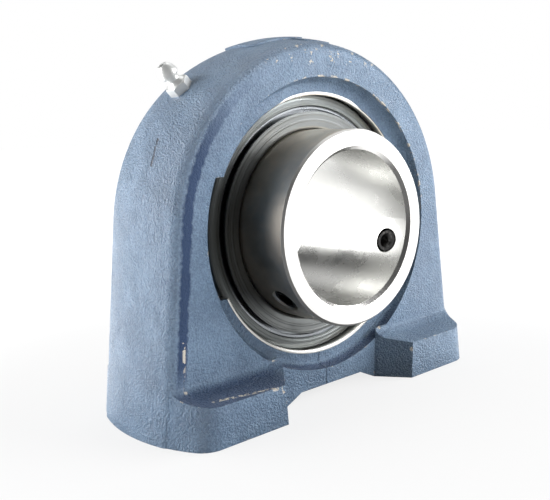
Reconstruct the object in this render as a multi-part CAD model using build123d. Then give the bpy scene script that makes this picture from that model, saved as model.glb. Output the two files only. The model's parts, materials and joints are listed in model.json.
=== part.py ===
"""Tapped-base pillow block bearing: a cast housing round a self-aligning insert ball bearing.

Frame: millimetres, +Z up.  The origin is on the base plane, midway between the two tapped holes.
The bore axis runs along Y at the shaft height.  The front, where the wide end of the inner ring
stands out with its set screws, faces -Y.
"""
from build123d import *
import os
from math import acos, atan2, cos, degrees, hypot, pi, radians, sin, sqrt, tan

# ---------------------------------------------------------------- housing
shaft_height = 57.2          # base plane to bore axis
base_length = 136.4          # over the crowned foot ends, at the floor
foot_depth = 59.6            # front to back over the feet
body_depth = 38.4            # front to back over the flat faces of the arch
arch_radius = 61.9           # bore axis to the crest of the crowned arch
crown_radius = 57.0          # bulge of the arch and the legs from front to back
foot_end_radius = 50.0       # bulge of the foot ends from front to back
edge_radius = 4.0            # rounded rim between the crown and the flat faces
foot_corner_radius = 8.0     # upright corners of the feet
foot_front_height = 12.6     # foot height at its outer edge
foot_root_height = 14.4      # foot height where it meets the body
foot_root_radius = 4.0       # hollow between the foot top and the body
foot_gap_front = 57.8        # between the feet at their outer edge, on the floor
foot_gap_root = 41.6         # between the feet at the body, on the floor
foot_draft = 3.0             # degrees, inner sides of the feet
relief_height = 3.3          # arch under the middle of the base
relief_flat = 27.8           # width of its level part
tap_spacing = 94.0           # centre to centre of the base threads
tap_drill_radius = 7.0       # M16 thread, at its minor diameter
tap_depth = 25.0
drill_point_angle = 118.0    # degrees
recess_ledge = 5.3           # seat mouth to the foot of the recess wall
recess_draft = 0.4           # how far the recess wall leans out
recess_depth = 3.8
recess_root_radius = 2.2     # hollow between the recess floor and its wall
mouth_land = 1.05            # turned cylinder between the spherical seat and the recess floor
mouth_chamfer = 0.4
slot_step = 1.0              # loading slots beyond the seat radius
slot_height = 37.2
nipple_tilt = 42.6           # degrees from upright, towards -X
nipple_offset = 0.7          # from the mid plane towards the back
nipple_thread_radius = 2.6   # M6 hole, at its minor diameter
nipple_thread_depth = 8.0
nipple_spot_radius = 5.4     # flat ring machined for the nipple
nipple_spot_depth = 0.35     # below the crown at the nipple
grease_hole_radius = 1.5
gate_width = 16.0            # patch left on the crest where the casting was fed
gate_start = -19.0           # degrees from upright, towards +X
gate_span = 21.5
gate_height = 0.8            # above the crown
gate_step_width = 27.0       # lower patch beside it, where the feeder broke off
gate_step_start = -3.0
gate_step_span = 12.5
gate_step_height = 0.4
gate_corner = 2.5
gate_rim_radius = 0.3

# ---------------------------------------------------------------- insert bearing
seat_radius = 45.0           # sphere of the outer ring
ring_width_share = 4 / 15    # width of the outer ring over its diameter
outer_corner_radius = 2.6    # rounded corner between the ring's face and its sphere
outer_shoulder_share = 0.4063  # raceway depth in the outer ring over the ball radius
shield_step = 0.3            # shield seats beyond the shoulders
shield_seat_depth = 3.4      # from the ring face in to the shoulder
bore_radius = 25.0           # shaft bore of the inner ring
inner_shoulder_share = 0.4457  # raceway depth in the inner ring over the ball radius
inner_front_reach = 32.6     # mid plane to the wide end of the inner ring
inner_back_reach = 19.0
bore_chamfer = 1.1
rim_chamfer = 0.7
ball_count = 10
ball_share = 0.3175          # ball radius over the space between the bore and the seat
groove_conformity = 1.04     # raceway radius over ball radius
groove_width = 1.8           # grease groove round the outer ring
groove_depth = 0.6
groove_offset = 6.4          # from the mid plane towards the back
ring_hole_radius = 0.8
ring_hole_count = 2

# ---------------------------------------------------------------- cage
cage_sheet = 1.0
cage_height = 4.2            # radial height of the ribbon
pocket_clearance = 0.15
pocket_wall = 0.9
rivet_radius = 0.8
rivet_head_radius = 1.35
rivet_head_height = 0.55

# ---------------------------------------------------------------- seals
shield_sheet = 0.8
shield_rim_width = 2.4       # rim that stands on the shield towards the face
shield_opening_share = 0.4016  # inner ring to the edge of the shield web, over the ball radius
lip_thickness = 1.7
lip_overlap = 0.6            # lip bonded over the web
lip_tip_width = 0.5
slinger_sheet = 0.8
slinger_gap = 1.7            # rim of the slinger to the bore of the outer ring
slinger_hub_width = 2.8
slinger_stand_out = 0.9      # outer face of the slinger beyond the outer ring
slinger_bend = 0.5           # inside radius of the bend

# ---------------------------------------------------------------- set screws
screw_offset = 23.6          # mid plane to the screws, towards the front
screw_first_angle = 108.5    # degrees from upright, towards +X
screw_spread = 120.0         # degrees between the two screws
screw_thread_radius = 4.25   # M10 thread, at its minor diameter
screw_length = 5.9
screw_chamfer = 0.6
screw_socket_width = 5.0     # across flats
screw_socket_depth = 2.8
screw_cup_radius = 2.6
screw_cup_depth = 1.3
screw_hole_chamfer = 0.35

# ---------------------------------------------------------------- grease nipple
nipple_hex_width = 7.0       # across flats
nipple_hex_height = 3.0
nipple_hex_turn = 2.8        # degrees, as the nipple stopped when it was tightened
nipple_shank_length = 5.5
nipple_neck_radius = 2.0
nipple_head_radius = 3.1
nipple_tip_radius = 1.5
nipple_collar_height = 1.2   # cone above the hexagon
nipple_neck_height = 0.8
nipple_head_height = 1.3     # from the neck out to the widest part of the head
nipple_tip_height = 3.6      # from there to the tip
nipple_tip_bulge = 0.45      # of the head's rounded side beyond a straight cone
nipple_bore_radius = 0.9
nipple_chamber_radius = 1.5
check_ball_radius = 1.3
spring_wire_radius = 0.16
spring_turns = 4

# ---------------------------------------------------------------- clearances
seat_clearance = 0.05        # outer ring in its spherical seat
running_clearance = 0.03     # ball to raceway
press_clearance = 0.02       # parts that are pressed or screwed together
thread_clearance = 0.05      # set screws in their threads
lip_clearance = 0.06         # seal lip to inner ring

# ---------------------------------------------------------------- worked out from the sizes above
centre = Vector(0, 0, shaft_height)
bore_axis = Axis(centre, (0, 1, 0))
ball_radius = ball_share * (seat_radius - bore_radius)
outer_ring_width = ring_width_share * 2 * seat_radius
outer_shoulder_height = outer_shoulder_share * ball_radius
inner_shoulder_height = inner_shoulder_share * ball_radius
shield_opening = shield_opening_share * ball_radius
half_base = base_length / 2
half_body = body_depth / 2
half_foot = foot_depth / 2
half_ring = outer_ring_width / 2
reach = arch_radius + shaft_height + half_base     # longer than any line through the part
flare = acos(arch_radius / hypot(half_base, shaft_height)) - atan2(shaft_height, half_base)
seat_bore = seat_radius + seat_clearance
slot_radius = seat_radius + slot_step
recess_floor = half_body - recess_depth
mouth_start = recess_floor - mouth_land
mouth_radius = sqrt(seat_bore ** 2 - mouth_start ** 2)
pitch_radius = (bore_radius + seat_radius) / 2
outer_groove = pitch_radius + ball_radius + running_clearance
inner_groove = pitch_radius - ball_radius - running_clearance
groove_radius = ball_radius * groove_conformity
shoulder_radius = outer_groove - outer_shoulder_height
shield_bore_radius = shoulder_radius + shield_step
inner_ring_radius = inner_groove + inner_shoulder_height
shield_web_radius = inner_ring_radius + shield_opening
slinger_radius = shield_bore_radius - slinger_gap
cage_inner_radius = pitch_radius - cage_height / 2
cage_outer_radius = pitch_radius + cage_height / 2
ball_step = 360 / ball_count


def radial(angle, distance=1.0, along=0.0):
    """Point at an angle in degrees from upright towards +X, at a distance from the bore axis."""
    turn = radians(angle)
    return Vector(distance * sin(turn), along, shaft_height + distance * cos(turn))


def radial_plane(angle, distance, along=0.0):
    """Plane square to a radius, with its normal pointing away from the bore axis."""
    turn = radians(angle)
    return Plane(radial(angle, distance, along), x_dir=(0, 1, 0), z_dir=(sin(turn), 0, cos(turn)))


def turned_face(profile):
    """Solid of revolution about the bore axis, from a face drawn as (radius, y)."""
    return revolve(Pos(centre) * profile, bore_axis)


def turned(*outline):
    """Solid of revolution about the bore axis, from edges drawn as (radius, y)."""
    return turned_face(make_face(outline))


def spun(*outline):
    """Solid of revolution about Z, from edges drawn as (radius, z)."""
    return revolve(Plane.XZ * make_face(outline), Axis.Z)


def facing(solid, side):
    """A part drawn for the back, turned to the front where side is -1."""
    return solid if side > 0 else mirror(solid, Plane.XZ)


def hexagon(width):
    """Hexagon by its width across flats."""
    return RegularPolygon(radius=width / 2, side_count=6, major_radius=False)


# ---------------------------------------------------------------- housing
def crown_at(y, bulge=crown_radius):
    """Distance from the bore axis to the crowned surface."""
    return arch_radius - bulge + sqrt(bulge ** 2 - y ** 2)


def crown_section(half_width, corner, bulge=crown_radius):
    """Section of the arch or a foot, from the bore axis out to the crown."""
    edge = crown_at(half_width, bulge)
    back = Polyline((edge, -half_width), (0, -half_width), (0, half_width), (edge, half_width))
    crown = ThreePointArc((edge, half_width), (arch_radius, 0), (edge, -half_width))
    section = make_face([back, crown])
    rim = [vertex for vertex in section.vertices() if vertex.X > edge / 2]
    return fillet(rim, corner)


def leg(half_width, corner, bulge=crown_radius):
    """Right-hand leg or foot end: the section run down the flare from the end of the arch."""
    outward = Vector(cos(flare), 0, sin(flare))
    upward = Vector(-sin(flare), 0, cos(flare))
    section = Plane(centre, x_dir=outward, z_dir=upward) * crown_section(half_width, corner, bulge)
    return extrude(section, amount=reach, dir=-upward)


def arch():
    """Crowned arch over the bore, between the tops of the legs."""
    outward = Vector(cos(flare), 0, sin(flare))
    upward = Vector(-sin(flare), 0, cos(flare))
    section = Plane(centre, x_dir=outward, z_dir=upward) * crown_section(half_body, edge_radius)
    return revolve(section, Axis(centre, (0, -1, 0)), 180 - 2 * degrees(flare))


def body_block():
    """Arch, legs and the wedge between the legs, cut off at the floor."""
    side = leg(half_body, edge_radius)
    foot_of_line = shaft_height * tan(flare) + half_body
    wedge = make_face(Polyline((0, shaft_height), (foot_of_line, 0), (-foot_of_line, 0), close=True))
    middle = extrude(Plane.XZ * wedge, amount=half_body, both=True)
    block = arch() + side + mirror(side, Plane.YZ) + middle
    return split(block, Plane.XY, keep=Keep.TOP)


def foot():
    """Right-hand foot: crowned end, sloping top and slanted inner sides."""
    slope = (foot_root_height - foot_front_height) / (half_foot - half_body)
    ridge = foot_root_height + half_body * slope
    top = Polyline((-half_foot, 0), (-half_foot, foot_front_height), (0, ridge),
                   (half_foot, foot_front_height), (half_foot, 0), close=True)
    block = extrude(Plane.YZ * make_face(top), amount=reach)
    slant = (foot_gap_front - foot_gap_root) / (foot_depth - body_depth)
    root = foot_gap_root / 2
    outer = root + slant * half_foot
    far = half_body + half_foot
    plan = Polyline((root, -half_body), (outer, -far), (reach, -far),
                    (reach, far), (outer, far), (root, half_body), close=True)
    sides = extrude(make_face(plan), amount=ridge + foot_root_radius, taper=foot_draft)
    return leg(half_foot, foot_corner_radius, foot_end_radius) & block & sides


def gate_patch(start, span, width, height):
    """Raised patch on the crest, following the crown."""
    half = width / 2
    top = crown_at(half) + height
    low = crown_at(half) - gate_height
    crown = ThreePointArc((top, half), (arch_radius + height, 0), (top, -half))
    section = make_face([Polyline((top, -half), (low, -half), (low, half), (top, half)), crown])
    outward = radial(start) - centre
    along = radial(start + 90) - centre
    patch = revolve(Plane(centre, x_dir=outward, z_dir=along) * section, bore_axis, span)
    middle = radial(start + span / 2, arch_radius)
    corners = patch.edges().filter_by(lambda edge: edge.length < 3 * gate_height)
    patch = fillet(corners, gate_corner)
    crest = patch.faces().sort_by_distance(middle)[0]
    return fillet(crest.edges(), gate_rim_radius)


def root_edges(block):
    """Edges where the foot tops meet the body."""
    low = foot_root_height - edge_radius / 2
    high = foot_root_height + edge_radius / 2

    def is_root(edge):
        ends = [edge @ 0, edge @ 0.5, edge @ 1]
        level = all(low < point.Z < high for point in ends)
        within = all(abs(point.Y) < half_body + press_clearance for point in ends)
        return level and within
    return block.edges().filter_by(is_root)


def seat_cavity():
    """Recesses, turned mouths and the spherical seat, as one turned cutter."""
    wall = mouth_radius + recess_ledge
    side = [(mouth_radius, mouth_start), (mouth_radius, recess_floor - mouth_chamfer),
            (mouth_radius + mouth_chamfer, recess_floor), (wall, recess_floor),
            (wall + recess_draft, half_body), (0, half_body)]
    outline = side + [(radius, -y) for radius, y in reversed(side)]
    seat = ThreePointArc((mouth_radius, -mouth_start), (seat_bore, 0), (mouth_radius, mouth_start))
    profile = make_face([Polyline(*outline), seat])
    roots = [vertex for vertex in profile.vertices() if abs(vertex.X - wall) < recess_draft / 2]
    return turned_face(fillet(roots, recess_root_radius))


def loading_slots():
    """Slots in the front half, through which the insert is put in edgeways."""
    disc = Cylinder(slot_radius, recess_floor, align=(Align.CENTER, Align.CENTER, Align.MIN))
    band = Box(2 * reach, 2 * reach, slot_height)
    return Pos(centre) * ((Rot(90, 0, 0) * disc) & band)


def tapped_holes():
    """Blind M16 holes in both feet, from the base."""
    point = tap_drill_radius / tan(radians(drill_point_angle / 2))
    drill = spun(Polyline((0, 0), (tap_drill_radius, 0), (tap_drill_radius, tap_depth),
                          (0, tap_depth + point), close=True))
    return [Pos(side * tap_spacing / 2, 0, 0) * drill for side in (-1, 1)]


def relief():
    """Shallow arch under the base, between the feet."""
    low = foot_gap_root / 2
    high = relief_flat / 2
    outline = Polyline((-low, 0), (-high, relief_height), (high, relief_height), (low, 0), close=True)
    return extrude(Plane.XZ * make_face(outline), amount=half_body, both=True)


nipple_seat = crown_at(nipple_offset) - nipple_spot_depth


def nipple_hole():
    """Spot face, thread and grease passage, square to the crown."""
    local = spun(Polyline((0, reach), (nipple_spot_radius, reach), (nipple_spot_radius, 0),
                          (nipple_thread_radius, 0), (nipple_thread_radius, -nipple_thread_depth),
                          (grease_hole_radius, -nipple_thread_depth),
                          (grease_hole_radius, mouth_radius - nipple_seat),
                          (0, mouth_radius - nipple_seat), close=True))
    return radial_plane(-nipple_tilt, nipple_seat, nipple_offset).location * local


def housing():
    right = foot()
    block = body_block() + right + mirror(right, Plane.YZ)
    block = fillet(root_edges(block), foot_root_radius)
    block = block + gate_patch(gate_start, gate_span, gate_width, gate_height)
    block = block + gate_patch(gate_step_start, gate_step_span, gate_step_width, gate_step_height)
    block = block - seat_cavity() - loading_slots() - relief() - nipple_hole()
    for hole in tapped_holes():
        block = block - hole
    return block


# ---------------------------------------------------------------- insert bearing
def outer_ring():
    """Outer ring: spherical outside, raceway and shield seats inside."""
    corner = sqrt(seat_radius ** 2 - half_ring ** 2)
    seat_y = half_ring - shield_seat_depth
    race = outer_groove - groove_radius
    race_y = sqrt(groove_radius ** 2 - (shoulder_radius - race) ** 2)
    break_edge = rim_chamfer / 2
    side = [(shoulder_radius, race_y), (shoulder_radius, seat_y), (shield_bore_radius, seat_y),
            (shield_bore_radius, half_ring - break_edge), (shield_bore_radius + break_edge, half_ring),
            (corner, half_ring)]
    back = Polyline(*side)
    front = Polyline(*[(radius, -y) for radius, y in side])
    sphere = ThreePointArc((corner, -half_ring), (seat_radius, 0), (corner, half_ring))
    raceway = ThreePointArc((shoulder_radius, -race_y), (outer_groove, 0), (shoulder_radius, race_y))
    profile = make_face([back, front, sphere, raceway])
    corners = profile.vertices().sort_by(Axis.X)[-2:]
    ring = turned_face(fillet(corners, outer_corner_radius))
    groove = Pos(seat_radius, groove_offset) * Rectangle(4 * groove_depth, groove_width)
    ring = ring - turned_face(groove)
    for count in range(ring_hole_count):
        angle = 360 * count / ring_hole_count - nipple_tilt
        hole = Cylinder(ring_hole_radius, seat_radius - pitch_radius)
        middle = (seat_radius + pitch_radius) / 2 + groove_depth
        ring = ring - radial_plane(angle, middle, groove_offset).location * hole
    return ring


def inner_ring():
    """Inner ring: raceway outside, plain bore, and two tapped holes at the wide end."""
    race = inner_groove + groove_radius
    race_y = sqrt(groove_radius ** 2 - (race - inner_ring_radius) ** 2)

    def end(reach_y):
        return [(inner_ring_radius, reach_y - rim_chamfer), (inner_ring_radius - rim_chamfer, reach_y),
                (bore_radius + bore_chamfer, reach_y), (bore_radius, reach_y - bore_chamfer)]
    back = [(inner_ring_radius, race_y)] + end(inner_back_reach)
    front = [(inner_ring_radius, race_y)] + end(inner_front_reach)
    outline = [(radius, -y) for radius, y in front] + list(reversed(back))
    raceway = ThreePointArc((inner_ring_radius, -race_y), (inner_groove, 0), (inner_ring_radius, race_y))
    ring = turned(Polyline(*outline), raceway)
    for angle in screw_angles():
        ring = ring - screw_hole(angle)
    return ring


def screw_angles():
    return [screw_first_angle, screw_first_angle + screw_spread]


def screw_hole(angle):
    """Tapped hole through the inner ring, broken at its outer edge."""
    wide = screw_thread_radius + screw_hole_chamfer
    outline = Polyline((0, bore_radius / 2), (screw_thread_radius, bore_radius / 2),
                       (screw_thread_radius, inner_ring_radius - 2 * screw_hole_chamfer),
                       (wide, inner_ring_radius - screw_hole_chamfer),
                       (wide, reach), (0, reach), close=True)
    return radial_plane(angle, 0, -screw_offset).location * spun(outline)


def set_screw(angle):
    """Socket set screw with a cup point, drawn with its point inwards."""
    radius = screw_thread_radius - thread_clearance
    slope = screw_cup_depth
    outline = Polyline((0, slope), (screw_cup_radius, 0), (radius - screw_chamfer, 0),
                       (radius, screw_chamfer), (radius, screw_length - screw_chamfer),
                       (radius - screw_chamfer, screw_length), (0, screw_length), close=True)
    socket = extrude(Pos(0, 0, screw_length) * hexagon(screw_socket_width), amount=-screw_socket_depth)
    screw = spun(outline) - socket
    return radial_plane(angle, bore_radius + thread_clearance, -screw_offset).location * screw


def ball(number):
    return Pos(radial(ball_step * number, pitch_radius)) * Sphere(ball_radius)


# ---------------------------------------------------------------- cage
def cage_half(side):
    """Pressed ribbon: flat between the balls and dished round each of them."""
    pocket = ball_radius + pocket_clearance
    shell = pocket + pocket_wall
    ribbon = turned(Polyline((cage_inner_radius, 0), (cage_outer_radius, 0),
                             (cage_outer_radius, cage_sheet), (cage_inner_radius, cage_sheet), close=True))
    band = turned(Polyline((cage_inner_radius, 0), (cage_outer_radius, 0),
                           (cage_outer_radius, 2 * shell), (cage_inner_radius, 2 * shell), close=True))
    spots = [radial(ball_step * number, pitch_radius) for number in range(ball_count)]
    domes = Part() + [Pos(spot) * Sphere(shell) for spot in spots]
    hollows = Part() + [Pos(spot) * Sphere(pocket) for spot in spots]
    drill = Cylinder(rivet_radius + press_clearance, 2 * shell)
    holes = Part() + [place * drill for place in rivet_places()]
    half = ribbon + (band & domes) - hollows - holes
    return facing(half, side)


def rivet_places():
    """Places of the rivets midway between the balls, with Z along the bore axis."""
    angles = [ball_step * (number + 0.5) for number in range(ball_count)]
    return [Pos(radial(angle, pitch_radius)) * Rot(-90, 0, 0) for angle in angles]


def rivets():
    """Ten rivets with round heads, as one group."""
    head = rivet_head_radius
    top = cage_sheet + rivet_head_height
    half = spun(Polyline((0, 0), (rivet_radius, 0), (rivet_radius, cage_sheet), (head, cage_sheet),
                         (0.8 * head, top - rivet_head_height / 3), (head / 3, top), (0, top), close=True))
    rivet = half + mirror(half, Plane.XY)
    return Compound(children=[place * rivet for place in rivet_places()])


# ---------------------------------------------------------------- seals
def shield(side):
    """Pressed steel shield held in the end of the outer ring."""
    outer = shield_bore_radius - press_clearance
    inner_face = half_ring - shield_seat_depth
    web = inner_face + shield_sheet
    outline = Polyline((shield_web_radius, inner_face), (outer, inner_face),
                       (outer, inner_face + shield_rim_width),
                       (outer - shield_sheet, inner_face + shield_rim_width),
                       (outer - shield_sheet, web), (shield_web_radius, web), close=True)
    return facing(turned(outline), side)


def seal_lip(side):
    """Rubber lip on the inner edge of the shield, bearing on the inner ring."""
    inner_face = half_ring - shield_seat_depth
    web = inner_face + shield_sheet
    tip = inner_ring_radius + lip_clearance
    skin = (lip_thickness - shield_sheet) / 2
    outline = Polyline((shield_web_radius, inner_face), (shield_web_radius, web),
                       (shield_web_radius + lip_overlap, web), (shield_web_radius + lip_overlap, web + skin),
                       (shield_web_radius - lip_thickness, web + skin), (tip, web + lip_tip_width),
                       (tip, web), (shield_web_radius - lip_thickness, inner_face), close=True)
    return facing(turned(outline), side)


def slinger(side):
    """Pressed steel flinger, fixed on the inner ring outside the shield."""
    outer_face = half_ring + slinger_stand_out
    inner = inner_ring_radius + press_clearance
    profile = make_face(Polyline(
        (inner, outer_face), (slinger_radius, outer_face), (slinger_radius, outer_face - slinger_sheet),
        (inner + slinger_sheet, outer_face - slinger_sheet),
        (inner + slinger_sheet, outer_face - slinger_hub_width),
        (inner, outer_face - slinger_hub_width), close=True))
    hollow = profile.vertices().sort_by_distance((inner + slinger_sheet, outer_face - slinger_sheet))[0]
    profile = fillet(hollow, slinger_bend)
    corner = profile.vertices().sort_by_distance((inner, outer_face))[0]
    profile = fillet(corner, slinger_bend + slinger_sheet)
    return facing(turned_face(profile), side)


# ---------------------------------------------------------------- grease nipple
def nipple_levels():
    """Heights of the nipple's steps above its seat."""
    hexagon_top = nipple_hex_height
    neck = hexagon_top + nipple_collar_height
    head = neck + nipple_neck_height
    shoulder = head + nipple_head_height
    return hexagon_top, neck, head, shoulder, shoulder + nipple_tip_height


def nipple_body():
    """Nipple turned round a hexagon, bored for its check ball and spring."""
    hexagon_top, neck, head, shoulder, tip = nipple_levels()
    shank = nipple_thread_radius - press_clearance
    hollow = nipple_neck_radius
    outline = Polyline((0, -nipple_shank_length), (shank, -nipple_shank_length), (shank, 0),
                       (nipple_head_radius, 0), (nipple_head_radius, hexagon_top),
                       (hollow, neck), (hollow, head), (nipple_head_radius, shoulder))
    widest = (nipple_head_radius, shoulder)
    middle = ((nipple_head_radius + nipple_tip_radius) / 2 + nipple_tip_bulge, (shoulder + tip) / 2)
    bulge = ThreePointArc(widest, middle, (nipple_tip_radius, tip))
    stem = spun(outline, bulge, Polyline((nipple_tip_radius, tip), (0, tip), (0, -nipple_shank_length)))
    prism = extrude(Rot(0, 0, nipple_hex_turn) * hexagon(nipple_hex_width), amount=nipple_hex_height)
    corner = nipple_hex_width / 2 / cos(pi / 6)
    dome = spun(Polyline((0, -nipple_shank_length), (2 * corner, -nipple_shank_length),
                         (corner + nipple_hex_height, 0), (nipple_hex_width / 2, nipple_hex_height),
                         (0, nipple_hex_height), close=True))
    body = stem + (prism & dome)
    ball_height = check_ball_height()
    bore = spun(Polyline((0, -nipple_shank_length), (nipple_bore_radius, -nipple_shank_length),
                         (nipple_bore_radius, hexagon_top / 2), (nipple_chamber_radius, hexagon_top / 2),
                         (nipple_chamber_radius, ball_height),
                         (nipple_bore_radius, ball_height + check_ball_radius),
                         (nipple_bore_radius, tip), (0, tip), close=True))
    return nipple_place() * (body - bore)


def nipple_place():
    return radial_plane(-nipple_tilt, nipple_seat, nipple_offset).location


def check_ball_height():
    """Centre of the check ball below the tip, touching its cone."""
    tip = nipple_levels()[-1]
    return tip - check_ball_radius - nipple_tip_height / 2


def check_ball():
    gap = Pos(0, 0, check_ball_height() - 2 * press_clearance)
    return nipple_place() * gap * Sphere(check_ball_radius)


def check_spring():
    """Coil spring from the step in the bore up to the check ball."""
    start = nipple_levels()[0] / 2 + spring_wire_radius + press_clearance
    finish = check_ball_height() - check_ball_radius - spring_wire_radius
    radius = nipple_chamber_radius - spring_wire_radius - 2 * thread_clearance
    path = Helix(pitch=(finish - start) / spring_turns, height=finish - start, radius=radius)
    wire = Plane(path @ 0, z_dir=path % 0) * Circle(spring_wire_radius)
    return nipple_place() * Pos(0, 0, start) * sweep(wire, path)


# ---------------------------------------------------------------- nodes
def nodes():
    """Every piece by its name."""
    pieces = {"housing": housing(), "outer_ring": outer_ring(), "inner_ring": inner_ring()}
    for number in range(ball_count):
        pieces[f"ball_{number + 1:02d}"] = ball(number)
    pieces["cage_front_half"] = cage_half(-1)
    pieces["cage_back_half"] = cage_half(1)
    pieces["cage_rivets"] = rivets()
    for name, side in (("front", -1), ("back", 1)):
        pieces[f"{name}_shield"] = shield(side)
        pieces[f"{name}_seal_lip"] = seal_lip(side)
        pieces[f"{name}_slinger"] = slinger(side)
    for number, angle in enumerate(screw_angles()):
        pieces[f"set_screw_{number + 1}"] = set_screw(angle)
    pieces["grease_nipple_body"] = nipple_body()
    pieces["grease_nipple_ball"] = check_ball()
    pieces["grease_nipple_spring"] = check_spring()
    return pieces


os.makedirs("parts", exist_ok=True)
for name, piece in nodes().items():
    export_step(piece, f"parts/{name}.step")
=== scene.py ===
"""Dresses the tapped-base pillow block: enamelled casting, ground insert bearing, set screws and nipple.

Metres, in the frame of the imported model: +Z up, the bore axis along Y, the front towards -Y.
The materials work in millimetres, in the same frame.
"""
import bmesh
import bpy
import json
from math import cos, pi, radians, sin
from bpy.props import FloatProperty, FloatVectorProperty
from mathutils import Matrix, Vector


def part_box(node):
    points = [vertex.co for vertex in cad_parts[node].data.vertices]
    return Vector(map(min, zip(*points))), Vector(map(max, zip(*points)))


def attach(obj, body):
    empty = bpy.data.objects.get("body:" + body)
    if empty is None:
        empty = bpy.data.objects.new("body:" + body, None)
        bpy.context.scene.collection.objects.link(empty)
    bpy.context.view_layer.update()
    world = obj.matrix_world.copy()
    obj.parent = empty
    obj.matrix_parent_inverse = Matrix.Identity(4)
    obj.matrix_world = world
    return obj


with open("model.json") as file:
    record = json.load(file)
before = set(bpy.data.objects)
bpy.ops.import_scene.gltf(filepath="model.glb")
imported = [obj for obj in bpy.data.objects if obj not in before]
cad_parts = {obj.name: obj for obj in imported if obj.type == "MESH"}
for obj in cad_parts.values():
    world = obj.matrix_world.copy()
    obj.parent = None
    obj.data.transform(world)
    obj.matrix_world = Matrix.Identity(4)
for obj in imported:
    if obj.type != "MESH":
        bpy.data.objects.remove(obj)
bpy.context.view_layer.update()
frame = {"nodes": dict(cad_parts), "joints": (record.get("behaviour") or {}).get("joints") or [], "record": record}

bl_info = {
    "name": "Pillow block finisher",
    "version": (1, 0, 0),
    "blender": (4, 5, 0),
    "location": "3D View > Sidebar > Pillow block",
    "description": "Paints, grinds and threads the pieces of a tapped-base pillow block",
    "category": "Object",
}

MM = 0.001


# ---------------------------------------------------------------- places read from the frame
outer_low, outer_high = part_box("outer_ring")
CENTRE = Vector(((outer_low.x + outer_high.x) / 2, 0.0, (outer_low.z + outer_high.z) / 2))


def joint(name):
    """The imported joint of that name."""
    return next(entry for entry in frame["joints"] if entry["name"] == name)


def mount(name):
    """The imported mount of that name."""
    return next(entry for entry in frame["record"]["mounts"] if entry["name"] == name)


# ---------------------------------------------------------------- node helpers
BEVEL_SAMPLES = 4
ACROSS_BORE = (1.0, 0.0, 1.0)
NEAR_CORE = 0.5  # share of a half width that is fully within it
STROKE_CORE = 0.3


def colour(*rgb):
    """An opaque colour."""
    return (*rgb, 1.0)


class Nodes:
    """Adds nodes to a shader tree; each value is a number, a tuple or the output of another node."""

    def __init__(self, tree):
        self.tree = tree

    def add(self, kind, **fields):
        """A new node, with its fields set."""
        node = self.tree.nodes.new(kind)
        for field, value in fields.items():
            setattr(node, field, value)
        return node

    def put(self, socket, value):
        """A value into a socket; none leaves it as it is."""
        if isinstance(value, bpy.types.NodeSocket):
            self.tree.links.new(value, socket)
        elif value is not None:
            socket.default_value = value

    def fill(self, node, **values):
        """Values into a node's inputs; an underscore in a name stands for a space."""
        for name, value in values.items():
            self.put(node.inputs[name.replace("_", " ")], value)

    def vector(self, operation, first, second=None, scale=None):
        """Result of an operation on vectors."""
        node = self.add("ShaderNodeVectorMath", operation=operation)
        self.put(node.inputs[0], first)
        self.put(node.inputs[1], second)
        if scale is not None:
            self.put(node.inputs["Scale"], scale)
        single = operation in ("DOT_PRODUCT", "LENGTH", "DISTANCE")
        return node.outputs["Value" if single else "Vector"]

    def maths(self, operation, first, second=None, third=None):
        """Result of an operation on numbers."""
        node = self.add("ShaderNodeMath", operation=operation)
        for socket, value in zip(node.inputs, (first, second, third)):
            self.put(socket, value)
        return node.outputs["Value"]

    def axis(self, vector, name):
        """The X, Y or Z of a vector."""
        node = self.add("ShaderNodeSeparateXYZ")
        self.put(node.inputs[0], vector)
        return node.outputs[name]

    def spread(self, value, low, high, out_low=0.0, out_high=1.0, smooth=True):
        """The value's stretch from low to high, as out_low to out_high."""
        node = self.add("ShaderNodeMapRange", interpolation_type="SMOOTHSTEP" if smooth else "LINEAR")
        self.fill(node, Value=value, From_Min=low, From_Max=high, To_Min=out_low, To_Max=out_high)
        return node.outputs["Result"]

    def mix(self, share, first, second):
        """Colour between two, by a share."""
        node = self.add("ShaderNodeMix", data_type="RGBA")
        self.fill(node, Factor=share, A=first, B=second)
        return node.outputs["Result"]

    def blend(self, share, first, second):
        """Number between two, by a share."""
        node = self.add("ShaderNodeMix", data_type="FLOAT")
        self.fill(node, Factor=share, A=first, B=second)
        return node.outputs["Result"]

    def near(self, value, centre, half):
        """1 where the value is within half of the centre, with a soft end."""
        away = self.maths("ABSOLUTE", self.maths("SUBTRACT", value, centre))
        return self.spread(away, half, half * NEAR_CORE)

    def all_of(self, *masks):
        """Product of masks."""
        total = masks[0]
        for mask in masks[1:]:
            total = self.maths("MULTIPLY", total, mask)
        return total

    def any_of(self, *masks):
        """Highest of masks."""
        total = masks[0]
        for mask in masks[1:]:
            total = self.maths("MAXIMUM", total, mask)
        return total


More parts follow.
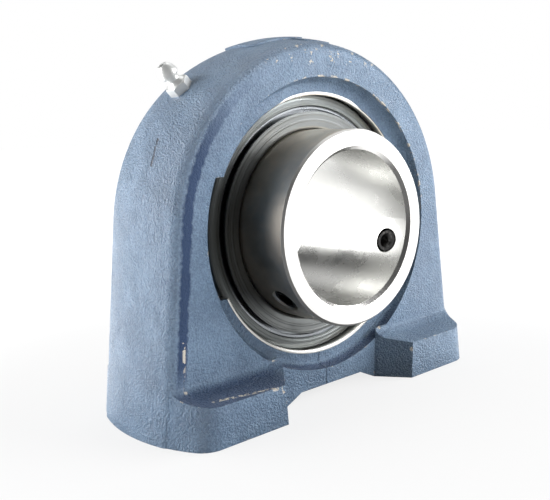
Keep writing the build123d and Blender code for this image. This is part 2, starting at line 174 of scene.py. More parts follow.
class Finish(Nodes):
    """A procedural material, placed by millimetres in the frame."""

    def __init__(self, name, **settings):
        self.material = bpy.data.materials.new(name)
        self.material.use_nodes = True
        super().__init__(self.material.node_tree)
        self.shader = next(node for node in self.tree.nodes if node.type == "BSDF_PRINCIPLED")
        self.set(**settings)
        place = self.add("ShaderNodeTexCoord")
        self.millimetres = self.vector("SCALE", place.outputs["Object"], scale=1 / MM)
        self.normal = place.outputs["Normal"]

    def set(self, **values):
        """Values into the shader."""
        self.fill(self.shader, **values)

    def noise(self, scale, detail=2.0, roughness=0.5, at=None):
        """Noise from 0 to 1; the scale counts its features to the millimetre."""
        node = self.add("ShaderNodeTexNoise")
        self.fill(node, Vector=at or self.millimetres, Scale=scale, Detail=detail, Roughness=roughness)
        return node.outputs["Fac"]

    def shaken(self, scale, reach):
        """Places pushed about by noise, whose middle is grey."""
        node = self.add("ShaderNodeTexNoise")
        self.fill(node, Vector=self.millimetres, Scale=scale)
        push = self.vector("SUBTRACT", node.outputs["Color"], (0.5, 0.5, 0.5))
        return self.vector("ADD", self.millimetres, self.vector("SCALE", push, scale=reach))

    def along_bore(self):
        """Distance behind the middle plane of the block; the front is below zero."""
        return self.axis(self.millimetres, "Y")

    def from_bore(self, place=None):
        """Offset of a place from the middle of the bore."""
        return self.vector("SUBTRACT", place or self.millimetres, tuple(CENTRE / MM))

    def bore_distance(self, place=None):
        """Distance of a place from the bore axis."""
        return self.vector("LENGTH", self.vector("MULTIPLY", self.from_bore(place), ACROSS_BORE))

    def beyond(self, direction, zero, one):
        """Mask that rises along a direction from the middle of the bore."""
        return self.spread(self.vector("DOT_PRODUCT", self.from_bore(), direction), zero, one)

    def zone(self, limits):
        """Mask of a zone: for each limit an axis, where along it the mask is 0, and where it is 1."""
        return self.all_of(*(self.spread(self.axis(self.millimetres, axis), zero, one)
                             for axis, zero, one in limits))

    def end_face(self, zero, one):
        """Mask of the faces square to the bore, by the share of their normal along it."""
        return self.spread(self.maths("ABSOLUTE", self.axis(self.normal, "Y")), zero, one)

    def wheel_rings(self, radius, scale):
        """Noise that keeps its value round the bore axis."""
        place = self.add("ShaderNodeCombineXYZ")
        self.fill(place, X=radius, Y=self.along_bore())
        return self.noise(scale, roughness=0.6, at=place.outputs["Vector"])

    def stroke(self, place, start, end, half):
        """1 along a straight stroke between two points, of a half width."""
        start, run = Vector(start), Vector(end) - Vector(start)
        offset = self.vector("SUBTRACT", place, tuple(start))
        share = self.maths("DIVIDE", self.vector("DOT_PRODUCT", offset, tuple(run)), run.length_squared)
        held = self.spread(share, 0.0, 1.0, smooth=False)
        foot = self.vector("SCALE", tuple(run), scale=held)
        return self.spread(self.vector("DISTANCE", offset, foot), half, half * STROKE_CORE)

    def rounded(self, radius):
        """Surface normal, with the edges rounded by a radius."""
        bevel = self.add("ShaderNodeBevel", samples=BEVEL_SAMPLES)
        self.put(bevel.inputs["Radius"], radius * MM)
        return bevel.outputs["Normal"]

    def edges(self, radius):
        """Near 1 on the flat, and less where the surface turns within a radius."""
        true = self.add("ShaderNodeNewGeometry").outputs["True Normal"]
        return self.vector("DOT_PRODUCT", self.rounded(radius), true)

    def bump(self, height, rounding=None):
        """Bump by a height, over edges rounded by a radius."""
        node = self.add("ShaderNodeBump")
        self.fill(node, Height=height, Distance=MM)
        if rounding:
            self.put(node.inputs["Normal"], self.rounded(rounding))
        self.set(Normal=node.outputs["Normal"])


def paint_nodes(material, *names):
    """Gives CAD nodes one material."""
    for name in names:
        slots = frame["nodes"][name].data.materials
        slots.clear()
        slots.append(material)


# ---------------------------------------------------------------- casting: places
# All in millimetres. A pair of limits says where a mask is 0 and where it is 1.

# Zones: an axis of the frame and the limits along it.
FRONT_FACE = (("Y", -18.3, -18.8),)
CROWN_EDGE = (("Z", 108.5, 110.5), ("Y", -16.8, -17.6))
SEAM_ZONE = (("Z", 15.0, 13.5), ("Y", -14.0, -15.5))
# Where the painted shade runs along the arch's front left corner, on the left side only
CORNER_ZONE = (("Y", -13.0, -15.5), ("X", -5.0, -20.0), ("Z", 112.0, 78.0), ("Z", 13.0, 24.0))
# Where the painted shadow lies: the top of the left foot, and the foot of the recess
LEFT_FOOT = (("X", -22.0, -30.0), ("Z", 26.0, 18.0), ("Y", -18.0, -20.0))
RECESS_FOOT = (("Z", 30.0, 18.0),)

# Sectors: a direction from the middle of the bore and the limits along it.
WIDE_BELOW = ((-0.35, 0.0, -0.94), 8.0, 34.0)
WIDE_ABOVE = ((0.05, 0.0, 1.0), 38.0, 42.0)
CHIPPED_SECTOR = ((0.6, 0.0, 0.8), 26.0, 36.0)

# The seat's land and the bowl behind it: radii, and depths from the middle plane. The land is wider in two
# sectors.
LAND_RADIUS = (43.02, 42.94)
LAND_DEPTH = (15.50, 15.45)
LAND_WIDENING = 0.75
BOWL_RADIUS = (45.3, 45.2)
BOWL_DEPTH = (14.6, 14.5)

# The recess: the radius of its rim, the half width of the chips there, and the limits of its wall.
RECESS_RIM = 48.4
RECESS_RIM_HALF = 0.7
RECESS_WALL = (49.2, 48.6)

# The painted shade at the front corner of the arch, by the distance that outline() gives; the legs flare by an
# angle.
CORNER_INSIDE = (53.2, 54.2)
CORNER_OUTSIDE = (57.4, 56.4)
LEG_FLARE = radians(5.95)

# Lines on the casting: where they run, and their half widths.
SEAM_X = -2.0
SEAM_HALF = 0.8
COLD_FOLD = ((-53.6, -3.6, 87.6), (-57.0, -4.9, 80.4))
FOLD_HALF = 0.8
FOOT_EDGES = (
    ((-53.9, -26.4, 13.1), (-32.9, -29.7, 12.3)),
    ((-30.7, -29.8, 12.0), (-30.0, -29.8, 9.5)),
    ((-58.1, -19.2, 30.0), (-58.9, -20.0, 15.5)),
    ((28.9, -29.7, 12.0), (29.3, -29.5, 10.0)),
)
FOOT_EDGE_HALF = 0.8


# ---------------------------------------------------------------- casting: surface
# Relief: shares of the skin's height, and heights in millimetres.
FLAT_SKIN_SHARE = 0.48
GRIT_SHARE = 0.10
SWELL_ROUND = 0.55
SWELL_FLAT = 0.5
SEAM_HEIGHT = 0.5
FOLD_DEPTH = 0.25
CHIP_DEPTH = 0.12
CAST_ROUNDING = 0.35

# Which way a face turns: limits on the share of its normal along the bore, and upwards.
FLAT_FACE = (0.80, 0.97)
UPWARD = (0.45, 0.85)

# Chips: limits on the noise that places them, and how far an edge turns within a reach to be worn.
RIM_CHIPS = (0.54, 0.57)
CROWN_CHIPS = (0.62, 0.64)
EDGE_CHIPS = (0.63, 0.65)
FOOT_CHIPS = (0.475, 0.505)
WORN_TURN = (0.965, 0.93)
WORN_REACH = 0.6

# Paint: the sand's share in its tone, the tone's limits from deep to light, and the share of painted shadow on the
# ledge tops.
SAND_IN_TONE = 0.6
TONE_LIMITS = (0.38, 0.62)
LEDGE_SHADOW_SHARE = 0.8

# Painted shade for the arch's front left corner, and painted shadow on the ledge tops
PAINTED_SHADE_COLOUR = colour(0.022, 0.056, 0.142)
# Painted shade in the crease of the cold fold
FOLD_PAINTED_SHADE = colour(0.012, 0.020, 0.045)
CHIPPED_IRON = colour(0.66, 0.61, 0.53)
TURNED_IRON = colour(0.90, 0.89, 0.86)
PAINT_ROUGHNESS = (0.33, 0.42)
SHADED_CORNER_ROUGHNESS = 0.8
CHIPPED_ROUGHNESS = 0.7
TURNED_ROUGHNESS = 0.36


def outline(finish, place):
    """Distance from the bore axis round the arch, and square to the flared outsides down the legs."""
    offset = finish.from_bore(place)
    beside = finish.maths("ABSOLUTE", finish.axis(offset, "X"))
    across = finish.maths("MULTIPLY", beside, sin(LEG_FLARE))
    down = finish.maths("MULTIPLY_ADD", finish.axis(offset, "Z"), -cos(LEG_FLARE), across)
    below = finish.maths("MAXIMUM", down, 0.0)
    squared = finish.maths("SUBTRACT", finish.maths("POWER", finish.bore_distance(place), 2.0),
                           finish.maths("POWER", below, 2.0))
    return finish.maths("SQRT", squared)


def sand_skin(finish, sand, depth):
    """Height of the cast skin: sand and grit in patches, shallow on the flat faces, over a slow swell."""
    flat = finish.end_face(*FLAT_FACE)
    grit = finish.noise(4.2, roughness=0.6)
    swell = finish.noise(0.20, detail=2.5, roughness=0.55)
    coarse = finish.maths("MULTIPLY", sand, finish.blend(flat, depth, depth * FLAT_SKIN_SHARE))
    fine = finish.maths("MULTIPLY", grit, depth * GRIT_SHARE)
    wave = finish.maths("MULTIPLY", swell, finish.blend(flat, SWELL_ROUND, SWELL_FLAT))
    patch = finish.spread(finish.noise(0.12), 0.35, 0.65, out_low=0.8, out_high=1.15)
    return finish.maths("MULTIPLY_ADD", finish.maths("ADD", coarse, fine), patch, wave)


def turned_mouth(finish, radius):
    """Where the seat is turned to bare iron; the land at its mouth runs wider above and below."""
    depth = finish.maths("ABSOLUTE", finish.along_bore())
    wide = finish.any_of(finish.beyond(*WIDE_BELOW), finish.beyond(*WIDE_ABOVE))
    cut = finish.maths("MULTIPLY_ADD", wide, -LAND_WIDENING, radius)
    land = finish.all_of(finish.spread(cut, *LAND_RADIUS), finish.spread(depth, *LAND_DEPTH))
    bowl = finish.all_of(finish.spread(radius, *BOWL_RADIUS), finish.spread(depth, *BOWL_DEPTH))
    return finish.any_of(land, bowl)


def chips(finish, radius):
    """Where the enamel is knocked off: along the recess rim, the crown's front edge and the foot edges."""
    spots = finish.noise(0.55, detail=3.0, roughness=0.6)
    rim = finish.all_of(finish.near(radius, RECESS_RIM, RECESS_RIM_HALF), finish.zone(FRONT_FACE),
                        finish.beyond(*CHIPPED_SECTOR), finish.spread(spots, *RIM_CHIPS))
    crown = finish.all_of(finish.zone(CROWN_EDGE), finish.spread(spots, *CROWN_CHIPS))
    edge_spots = finish.noise(0.38, detail=3.5, roughness=0.62)
    edge = finish.all_of(finish.spread(finish.edges(WORN_REACH), *WORN_TURN),
                         finish.spread(edge_spots, *EDGE_CHIPS))
    foot_spots = finish.spread(spots, *FOOT_CHIPS)
    feet = [finish.all_of(finish.stroke(finish.millimetres, start, end, FOOT_EDGE_HALF), foot_spots)
            for start, end in FOOT_EDGES]
    return finish.any_of(rim, crown, edge, *feet)


def front_corner_painted_shade(finish, place):
    """Painted shade in a line round the arch's front left corner and down the leg."""
    rim = outline(finish, place)
    return finish.all_of(finish.spread(rim, *CORNER_INSIDE), finish.spread(rim, *CORNER_OUTSIDE),
                         finish.zone(CORNER_ZONE))


def ledge_painted_shadow(finish, radius):
    """Painted shadow on what faces up: the top of the left foot, and the foot of the recess."""
    upward = finish.spread(finish.axis(finish.normal, "Z"), *UPWARD)
    recess = finish.all_of(finish.spread(radius, *RECESS_WALL), finish.zone(RECESS_FOOT))
    return finish.all_of(upward, finish.any_of(finish.zone(LEFT_FOOT), recess))


def enamelled_iron(settings):
    """Blue-grey enamel over a sand casting, with painted shade on its front left corner and the ledge tops, and
    the seat mouth turned to bare iron.
    """
    finish = Finish("enamelled_iron", IOR=1.5, Specular_IOR_Level=0.7)
    radius = finish.bore_distance()
    sand = finish.noise(1.6, detail=2.5, roughness=0.65)
    shaken = finish.shaken(0.6, reach=1.6)
    turned = turned_mouth(finish, radius)
    chipped = chips(finish, radius)
    corner = front_corner_painted_shade(finish, shaken)
    seam = finish.all_of(finish.near(finish.axis(shaken, "X"), SEAM_X, SEAM_HALF), finish.zone(SEAM_ZONE))
    fold = finish.stroke(finish.shaken(0.45, reach=1.3), *COLD_FOLD, FOLD_HALF)

    cloud = finish.noise(0.05, detail=3.0, roughness=0.6)
    tone = finish.maths("MULTIPLY_ADD", sand, SAND_IN_TONE, finish.maths("MULTIPLY", cloud, 1 - SAND_IN_TONE))
    paint = finish.mix(finish.spread(tone, *TONE_LIMITS), colour(*settings.paint_deep),
                       colour(*settings.paint_light))
    # Painted shade on the front left corner and painted shadow on the ledge tops darken the enamel
    darker = finish.any_of(corner, finish.maths("MULTIPLY", ledge_painted_shadow(finish, radius), LEDGE_SHADOW_SHARE))
    paint = finish.mix(darker, paint, PAINTED_SHADE_COLOUR)
    # Painted shade darkens the crease of the cold fold, which the bump also sinks
    paint = finish.mix(fold, paint, FOLD_PAINTED_SHADE)
    paint = finish.mix(chipped, paint, CHIPPED_IRON)
    rough = finish.spread(finish.noise(0.3), 0.3, 0.7, *PAINT_ROUGHNESS)
    rough = finish.blend(corner, rough, SHADED_CORNER_ROUGHNESS)
    rough = finish.blend(chipped, rough, CHIPPED_ROUGHNESS)
    finish.set(Base_Color=finish.mix(turned, paint, TURNED_IRON), Metallic=turned,
               Roughness=finish.blend(turned, rough, TURNED_ROUGHNESS))

    relief = sand_skin(finish, sand, settings.skin_height / MM)
    for mask, height in ((seam, SEAM_HEIGHT), (fold, -FOLD_DEPTH), (chipped, -CHIP_DEPTH)):
        relief = finish.maths("MULTIPLY_ADD", mask, height, relief)
    cast = finish.maths("SUBTRACT", 1.0, turned)
    finish.bump(finish.maths("MULTIPLY", relief, cast), CAST_ROUNDING)
    return finish.material


# ---------------------------------------------------------------- steel, rubber and zinc
# A streak is the height of the rings that the wheel leaves, a rounding is the radius of the edges, and ridges
# are radii from the bore axis; all in millimetres.
STEELS = {
    "outer_ring_steel": dict(tint=(0.19, 0.205, 0.205), roughness=0.34, streak=0.0, rounding=0.15,
                             ridges=(42.6, 40.2)),
    "slinger_steel": dict(tint=(0.19, 0.20, 0.20), roughness=0.36, streak=0.0, rounding=0.15,
                          ridges=(36.6, 34.6)),
    "ball_steel": dict(tint=(0.68, 0.68, 0.69), roughness=0.06, streak=0.0),
    "cage_steel": dict(tint=(0.50, 0.50, 0.50), roughness=0.30),
    "shield_steel": dict(tint=(0.32, 0.34, 0.36), roughness=0.30),
    "cut_iron": dict(tint=(0.42, 0.41, 0.40), roughness=0.35),
    "nipple_inner_steel": dict(tint=(0.6, 0.6, 0.6), roughness=0.15),
}
RIDGE_HALF = 0.45
RIDGE_HEIGHT = 0.10
CLOUD_LIMITS = (0.25, 0.75)

# The inner ring: limits on the share of a normal along the bore, and on the radius.
END_FACE = (0.6, 0.7)
BORE_RADIUS = (26.5, 26.0)
END_TINT = colour(0.85, 0.84, 0.82)
BORE_TINT = colour(0.45, 0.45, 0.435)
CLEAN_BARREL = colour(0.60, 0.57, 0.51)
STAINED_BARREL = colour(0.72, 0.65, 0.56)
BARREL_ROUGHNESS = 0.42
BORE_ROUGHNESS = 0.27
BARREL_STREAK = 0.03


def steel(name):
    """A ground or pressed steel of the list above."""
    return ground_steel(name, **STEELS[name])


def ground_steel(name, tint, roughness, streak=0.012, rounding=0.12, ridges=()):
    """Steel with fine rings left by the wheel, and ridges round the bore axis."""
    finish = Finish(name, Metallic=1.0, Base_Color=colour(*tint))
    radius = finish.bore_distance()
    height = 0.0
    if streak:
        height = finish.maths("MULTIPLY", finish.wheel_rings(radius, 7.0), streak)
    for ridge in ridges:
        height = finish.maths("MULTIPLY_ADD", finish.near(radius, ridge, RIDGE_HALF), RIDGE_HEIGHT, height)
    cloud = finish.noise(0.12, detail=3.0, roughness=0.55)
    finish.set(Roughness=finish.spread(cloud, *CLOUD_LIMITS, out_low=roughness * 0.8,
                                       out_high=roughness * 1.25))
    finish.bump(height, rounding)
    return finish.material


def inner_ring_steel():
    """Ground inner ring: bright end faces and bore, and a barrel browned by handling."""
    finish = Finish("inner_ring_steel", Metallic=1.0)
    radius = finish.bore_distance()
    bore = finish.spread(radius, *BORE_RADIUS)
    stain = finish.spread(finish.noise(0.09, detail=3.0, roughness=0.6), 0.35, 0.65)
    barrel = finish.mix(stain, CLEAN_BARREL, STAINED_BARREL)
    tint = finish.mix(finish.end_face(*END_FACE), finish.mix(bore, barrel, BORE_TINT), END_TINT)
    cloud = finish.noise(0.12, detail=3.0, roughness=0.55)
    patch = finish.spread(cloud, *CLOUD_LIMITS, out_low=0.85, out_high=1.2)
    level = finish.blend(bore, BARREL_ROUGHNESS, BORE_ROUGHNESS)
    finish.set(Base_Color=tint, Roughness=finish.maths("MULTIPLY", level, patch))
    streak = finish.blend(bore, BARREL_STREAK, 0.0)
    finish.bump(finish.maths("MULTIPLY", finish.wheel_rings(radius, 5.0), streak), rounding=0.12)
    return finish.material


def rubber():
    """Nitrile rubber of the seal lips."""
    finish = Finish("seal_rubber", Base_Color=colour(0.012, 0.012, 0.013), Roughness=0.55)
    finish.bump(finish.maths("MULTIPLY", finish.noise(3.0), 0.01))
    return finish.material


def blackened_steel():
    """Black oxide of the set screws, oiled."""
    finish = Finish("black_oxide", Metallic=1.0)
    wear = finish.spread(finish.noise(0.9, detail=3.0, roughness=0.6), 0.5, 0.8)
    finish.set(Base_Color=finish.mix(wear, colour(0.014, 0.014, 0.014), colour(0.06, 0.057, 0.054)),
               Roughness=finish.spread(finish.noise(1.3), 0.3, 0.7, out_low=0.28, out_high=0.45))
    finish.bump(finish.maths("MULTIPLY", finish.noise(4.0), 0.006), rounding=0.1)
    return finish.material


def bright_zinc():
    """Zinc plate of the grease nipple."""
    finish = Finish("bright_zinc", Metallic=0.5, Base_Color=colour(0.70, 0.71, 0.70))
    finish.set(Roughness=finish.spread(finish.noise(0.8), 0.3, 0.7, out_low=0.30, out_high=0.40))
    finish.bump(finish.maths("MULTIPLY", finish.noise(2.5), 0.02), rounding=0.12)
    return finish.material


# ---------------------------------------------------------------- settings
class CastingSettings(bpy.types.PropertyGroup):
    """Paint and skin of the casting"""
    paint_deep: FloatVectorProperty(name="Deep paint", description="Enamel where it lies thick",
                                    subtype="COLOR", size=3, default=(0.110, 0.178, 0.280))
    paint_light: FloatVectorProperty(name="Light paint", description="Enamel where it lies thin",
                                     subtype="COLOR", size=3, default=(0.178, 0.276, 0.408))
    skin_height: FloatProperty(name="Skin height", description="Depth of the sand skin under the paint",
                               subtype="DISTANCE", unit="LENGTH", default=1.5 * MM, min=0.0, max=4.0 * MM)


class StageSettings(bpy.types.PropertyGroup):
    """Camera and lights"""
    azimuth: FloatProperty(name="Azimuth", description="Camera round the block, from the front",
                           subtype="ANGLE", default=radians(-40.30))
    elevation: FloatProperty(name="Elevation", description="Camera above the bore",
                             subtype="ANGLE", default=radians(6.66))
    roll: FloatProperty(name="Roll", description="Camera about its own axis",
                        subtype="ANGLE", default=radians(-2.02))
    distance: FloatProperty(name="Distance", description="Camera to the middle of the bore",
                            subtype="DISTANCE", unit="LENGTH", default=0.2643)
    slide: FloatVectorProperty(name="Slide", description="Aim beside and above the middle of the bore",
                               subtype="XYZ", unit="LENGTH", size=2, default=(-0.0033, 0.0044))
    lens: FloatProperty(name="Lens", description="Focal length on a 36 mm sensor",
                        unit="CAMERA", default=49.40)
    shift: FloatVectorProperty(name="Shift", description="Shift of the picture, in shares of its width",
                               subtype="XYZ", size=2, default=(-0.0093, -0.0773))
    left_level: FloatProperty(name="Left box", default=7.4,
                              description="Brightness of the soft box behind the left side")
    right_level: FloatProperty(name="Right box", default=9.2,
                               description="Brightness of the soft box before the right side")
    dome_level: FloatProperty(name="Ceiling", description="Brightness of the room overhead", default=1.9)
    room_level: FloatProperty(name="Room", description="Brightness of the rest of the room", default=0.08)


# ---------------------------------------------------------------- threads
THREAD_SIDES = 36  # facets to a turn
THREAD_FOOT = 0.44  # half width of the ridge at its root, in pitches
THREAD_FLAT = 0.08  # half width of its crest, in pitches
THREAD_RUNOUT = 0.3  # least width of the ridge at its ends, as a share
SCREW_PITCH = 1.25 * MM
SCREW_ROOT = 4.15 * MM
SCREW_CREST = 4.9 * MM
SCREW_ENDS = 0.7 * MM  # plain at each end
BASE_PITCH = 2.0 * MM
BASE_ROOT = 0.05 * MM  # outside the drilled radius
BASE_CREST = 0.45 * MM  # inside the drilled radius
BASE_LEAD = 0.6 * MM + BASE_PITCH  # height of the thread's start above the floor
BASE_PLAIN = 3 * BASE_PITCH  # depth of the hole without thread


def new_piece(name, shape, material):
    """A piece of a finished bmesh, in the scene."""
    mesh = bpy.data.meshes.new(name)
    shape.to_mesh(mesh)
    shape.free()
    mesh.materials.append(material)
    piece = bpy.data.objects.new(name, mesh)
    bpy.context.scene.collection.objects.link(piece)
    return piece


def thread_coil(name, foot, axis, root, crest, pitch, length, material):
    """One helical ridge round an axis, between two radii; the crest's is the smaller in a nut thread."""
    count = int(length / pitch * THREAD_SIDES)
    turn = axis.to_track_quat("Z", "X").to_matrix()
    section = ((root, -THREAD_FOOT), (crest, -THREAD_FLAT), (crest, THREAD_FLAT), (root, THREAD_FOOT))
    shape = bmesh.new()
    rows = []
    for step in range(count + 1):
        angle = 2 * pi * step / THREAD_SIDES
        runout = min(1.0, step / THREAD_SIDES, (count - step) / THREAD_SIDES)
        row = []
        for radius, along in section:
            reach = root + (radius - root) * runout
            place = Vector((reach * cos(angle), reach * sin(angle),
                            pitch * (step / THREAD_SIDES + along * max(runout, THREAD_RUNOUT))))
            row.append(shape.verts.new(foot + turn @ place))
        rows.append(row)
    for first, second in zip(rows, rows[1:]):
        for corner in range(len(section)):
            after = (corner + 1) % len(section)
            shape.faces.new((first[corner], first[after], second[after], second[corner]))
    shape.faces.new(rows[0])
    shape.faces.new(rows[-1][::-1])
    bmesh.ops.recalc_face_normals(shape, faces=shape.faces)
    return new_piece(name, shape, material)


# ---------------------------------------------------------------- pieces
class BLOCK_OT_casting(bpy.types.Operator):
    """Enamel the housing and leave its seat bare"""
    bl_idname = "block.casting"
    bl_label = "Casting"

    def execute(self, context):
        paint_nodes(enamelled_iron(context.scene.block_casting), "housing")
        return {"FINISHED"}


class BLOCK_OT_insert(bpy.types.Operator):
    """Grind and plate the rings, balls, cage and seals of the insert"""
    bl_idname = "block.insert"
    bl_label = "Insert bearing"

    def execute(self, context):
        balls = [name for name in frame["nodes"] if name.startswith("ball_")]
        paint_nodes(steel("outer_ring_steel"), "outer_ring")
        paint_nodes(inner_ring_steel(), "inner_ring")
        paint_nodes(steel("ball_steel"), *balls)
        paint_nodes(steel("cage_steel"), "cage_front_half", "cage_back_half", "cage_rivets")
        paint_nodes(steel("shield_steel"), "front_shield", "back_shield")
        paint_nodes(steel("slinger_steel"), "front_slinger", "back_slinger")
        paint_nodes(rubber(), "front_seal_lip", "back_seal_lip")
        return {"FINISHED"}


class BLOCK_OT_base_threads(bpy.types.Operator):
    """Cut the threads of the two base holes"""
    bl_idname = "block.base_threads"
    bl_label = "Base threads"

    def execute(self, context):
        iron = steel("cut_iron")
        for side in ("left", "right"):
            hole = mount(f"{side}_base_thread")
            radius = hole["dims"]["r_mm"] * MM
            depth = hole["dims"]["length_mm"] * MM
            foot = Vector((hole["pos_m"][0], hole["pos_m"][1], BASE_LEAD))
            coil = thread_coil(f"{side}_base_thread", foot, Vector((0.0, 0.0, 1.0)), radius + BASE_ROOT,
                               radius - BASE_CREST, BASE_PITCH, depth - BASE_PLAIN, iron)
            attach(coil, "housing")
        return {"FINISHED"}


class BLOCK_OT_screws(bpy.types.Operator):
    """Blacken the set screws and cut their threads"""
    bl_idname = "block.screws"
    bl_label = "Set screws"

    def execute(self, context):
        oxide = blackened_steel()
        bore = mount("shaft_bore")["dims"]["r_mm"] * MM
        paint_nodes(oxide, "set_screw_1", "set_screw_2")
        for number in (1, 2):
            low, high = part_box(f"set_screw_{number}")
            middle = (low + high) / 2
            outward = -Vector(joint(f"screw_{number}_travel")["axis"]).normalized()
            if outward.dot(middle - CENTRE) < 0:
                outward.negate()
            length = 2 * ((middle - CENTRE).dot(outward) - bore)
            foot = Vector((CENTRE.x, middle.y, CENTRE.z)) + outward * (bore + SCREW_ENDS)
            coil = thread_coil(f"set_screw_thread_{number}", foot, outward, SCREW_ROOT, SCREW_CREST,
                               SCREW_PITCH, length - 2 * SCREW_ENDS, oxide)
            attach(coil, f"screw_{number}")
        return {"FINISHED"}


class BLOCK_OT_nipple(bpy.types.Operator):
    """Plate the grease nipple"""
    bl_idname = "block.nipple"
    bl_label = "Grease nipple"

    def execute(self, context):
        paint_nodes(bright_zinc(), "grease_nipple_body")
        paint_nodes(steel("nipple_inner_steel"), "grease_nipple_ball", "grease_nipple_spring")
        return {"FINISHED"}


# ---------------------------------------------------------------- stage
WHITE = colour(1.0, 1.0, 1.0)
SENSOR_WIDTH = 36.0
CLIP_START = 0.01
FLOOR_SIDE = 6.0
# The floor's glow to diffuse rays, painted bounce light
FLOOR_BOUNCE = 1.6

# Ramps outwards on the floor: two distances from the origin, in millimetres, and the strength at each.
FLOOR_SEEN = (100.0, 260.0, 0.80, 1.0)
# A painted shadow round the block in the floor's glow to reflections and diffuse rays
FLOOR_PAINTED_SHADOW = (40.0, 95.0, 0.1, 1.0)

# Ramps towards a direction: two cosines of the angle to it, and the strength at each.
# The floor's glow to reflections is painted light, dim towards the camera and brighter to the left
FLOOR_TO_CAMERA = (0.25, 0.60, 1.0, 0.0)
FLOOR_TO_LEFT = (0.3, 0.8, 1.9, 2.4)
FLOOR_LEFT = radians(100)
CEILING_COSINES = (0.78, 0.98)
CEILING_RISE = radians(66)
BACKDROP = (0.45, 0.75, 0.0, 0.3)

# Soft boxes: angle round from the camera, rise, distance, width, height, and the setting of the brightness.
SOFT_BOXES = {
    "left_box": (radians(-92), radians(13), 0.8, 1.0, 0.5, "left_level"),
    "right_box": (radians(95), radians(24), 0.85, 0.8, 0.45, "right_level"),
}


def towards(azimuth, elevation):
    """Direction from the block, at an azimuth from the front and an elevation."""
    return Vector((sin(azimuth) * cos(elevation), -cos(azimuth) * cos(elevation), sin(elevation)))


def camera(settings):
    """Camera on the block, with its roll, slide and shift."""
    back = towards(settings.azimuth, settings.elevation)
    level = Vector((cos(settings.azimuth), sin(settings.azimuth), 0.0))
    upright = back.cross(level)
    right = cos(settings.roll) * level + sin(settings.roll) * upright
    up = cos(settings.roll) * upright - sin(settings.roll) * level
    data = bpy.data.cameras.new("camera")
    data.sensor_width = SENSOR_WIDTH
    data.lens = settings.lens
    data.shift_x, data.shift_y = settings.shift
    data.clip_start = CLIP_START
    eye = bpy.data.objects.new("camera", data)
    bpy.context.scene.collection.objects.link(eye)
    turn = Matrix((right, up, back)).transposed().to_4x4()
    place = CENTRE + back * settings.distance + right * settings.slide[0] + up * settings.slide[1]
    eye.matrix_world = Matrix.Translation(place) @ turn
    bpy.context.scene.camera = eye


def soft_box(name, azimuth, elevation, distance, width, height, level):
    """Area lamp of a given radiance, turned to the middle of the bore."""
    data = bpy.data.lights.new(name, "AREA")
    data.shape = "RECTANGLE"
    data.size, data.size_y = width, height
    data.energy = level * pi * width * height
    lamp = bpy.data.objects.new(name, data)
    bpy.context.scene.collection.objects.link(lamp)
    away = towards(azimuth, elevation)
    lamp.location = CENTRE + away * distance
    lamp.rotation_mode = "QUATERNION"
    lamp.rotation_quaternion = away.to_track_quat("Z", "Y")


def floor(settings):
    """Grey floor that glows white to the camera; its glow to reflections and to diffuse rays is painted light,
    dimmed by a painted shadow round the block, and its own colour keeps a soft shadow.
    """
    paper = Finish("floor_paper", Base_Color=colour(0.13, 0.13, 0.13), Roughness=0.9,
                   Specular_IOR_Level=0.1, Emission_Color=WHITE)
    away = paper.vector("LENGTH", paper.millimetres)
    bearing = paper.vector("NORMALIZE", paper.millimetres)

    def side(azimuth, ramp):
        """Strength round the floor, by the angle to an azimuth."""
        return paper.spread(paper.vector("DOT_PRODUCT", bearing, towards(azimuth, 0.0)), *ramp)

    # A painted shadow round the block dims the glow to reflections and diffuse rays
    clear = paper.spread(away, *FLOOR_PAINTED_SHADOW)
    mirrored = paper.all_of(side(settings.azimuth, FLOOR_TO_CAMERA), clear,
                            side(settings.azimuth - FLOOR_LEFT, FLOOR_TO_LEFT))
    ray = paper.add("ShaderNodeLightPath").outputs
    to_camera = paper.maths("MULTIPLY", ray["Is Camera Ray"], paper.spread(away, *FLOOR_SEEN))
    to_metal = paper.maths("MULTIPLY", ray["Is Glossy Ray"], mirrored)
    bounced = paper.maths("MULTIPLY", ray["Is Diffuse Ray"], paper.maths("MULTIPLY", clear, FLOOR_BOUNCE))
    paper.set(Emission_Strength=paper.any_of(to_camera, to_metal, bounced))

    shape = bmesh.new()
    bmesh.ops.create_grid(shape, x_segments=1, y_segments=1, size=FLOOR_SIDE / 2)
    plane = new_piece("floor", shape, paper.material)


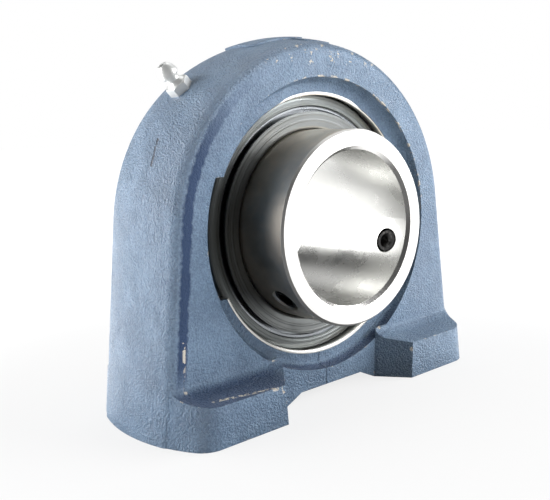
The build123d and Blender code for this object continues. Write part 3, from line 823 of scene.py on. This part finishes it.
def room(settings):
    """Room that the camera sees white, and the block sees dim, with a pale ceiling and a grey backdrop."""
    world = bpy.data.worlds.new("room")
    bpy.context.scene.world = world
    world.use_nodes = True
    nodes = Nodes(world.node_tree)
    background = next(node for node in world.node_tree.nodes if node.type == "BACKGROUND")
    view = nodes.add("ShaderNodeTexCoord").outputs["Generated"]
    behind = settings.azimuth + pi

    def patch(direction, *ramp):
        """Strength of the room, by the angle to a direction."""
        return nodes.spread(nodes.vector("DOT_PRODUCT", view, direction), *ramp)

    ceiling = patch(towards(behind, CEILING_RISE), *CEILING_COSINES, settings.room_level, settings.dome_level)
    backdrop = patch(towards(behind, 0.0), *BACKDROP)
    to_camera = nodes.add("ShaderNodeLightPath").outputs["Is Camera Ray"]
    strength = nodes.blend(to_camera, nodes.any_of(ceiling, backdrop), 1.0)
    nodes.fill(background, Color=WHITE, Strength=strength)


class BLOCK_OT_stage(bpy.types.Operator):
    """Set the floor, the room, the soft boxes and the camera"""
    bl_idname = "block.stage"
    bl_label = "Stage"

    def execute(self, context):
        settings = context.scene.block_stage
        camera(settings)
        floor(settings)
        room(settings)
        for name, (azimuth, elevation, distance, width, height, level) in SOFT_BOXES.items():
            soft_box(name, settings.azimuth + azimuth, elevation, distance, width, height,
                     getattr(settings, level))
        context.scene.view_settings.view_transform = "Standard"
        return {"FINISHED"}


# ---------------------------------------------------------------- panel
class BLOCK_PT_finisher(bpy.types.Panel):
    """Lists the settings and the operators"""
    bl_idname = "BLOCK_PT_finisher"
    bl_label = "Pillow block"
    bl_space_type = "VIEW_3D"
    bl_region_type = "UI"
    bl_category = "Pillow block"

    def draw(self, context):
        for group in (context.scene.block_casting, context.scene.block_stage):
            column = self.layout.column(align=True)
            for name in group.__annotations__:
                column.prop(group, name)
        for operator in OPERATORS:
            self.layout.operator(operator.bl_idname)


GROUPS = {"block_casting": CastingSettings, "block_stage": StageSettings}
OPERATORS = (BLOCK_OT_stage, BLOCK_OT_casting, BLOCK_OT_base_threads, BLOCK_OT_insert, BLOCK_OT_screws,
             BLOCK_OT_nipple)


def register():
    for group in GROUPS.values():
        bpy.utils.register_class(group)
    for operator in OPERATORS:
        bpy.utils.register_class(operator)
    bpy.utils.register_class(BLOCK_PT_finisher)
    for name, group in GROUPS.items():
        setattr(bpy.types.Scene, name, bpy.props.PointerProperty(type=group))


def unregister():
    for name in GROUPS:
        delattr(bpy.types.Scene, name)
    bpy.utils.unregister_class(BLOCK_PT_finisher)
    for operator in reversed(OPERATORS):
        bpy.utils.unregister_class(operator)
    for group in reversed(GROUPS.values()):
        bpy.utils.unregister_class(group)


def main():
    register()
    for operator in OPERATORS:
        family, name = operator.bl_idname.split(".")
        getattr(getattr(bpy.ops, family), name)()


if __name__ == "__main__":
    main()
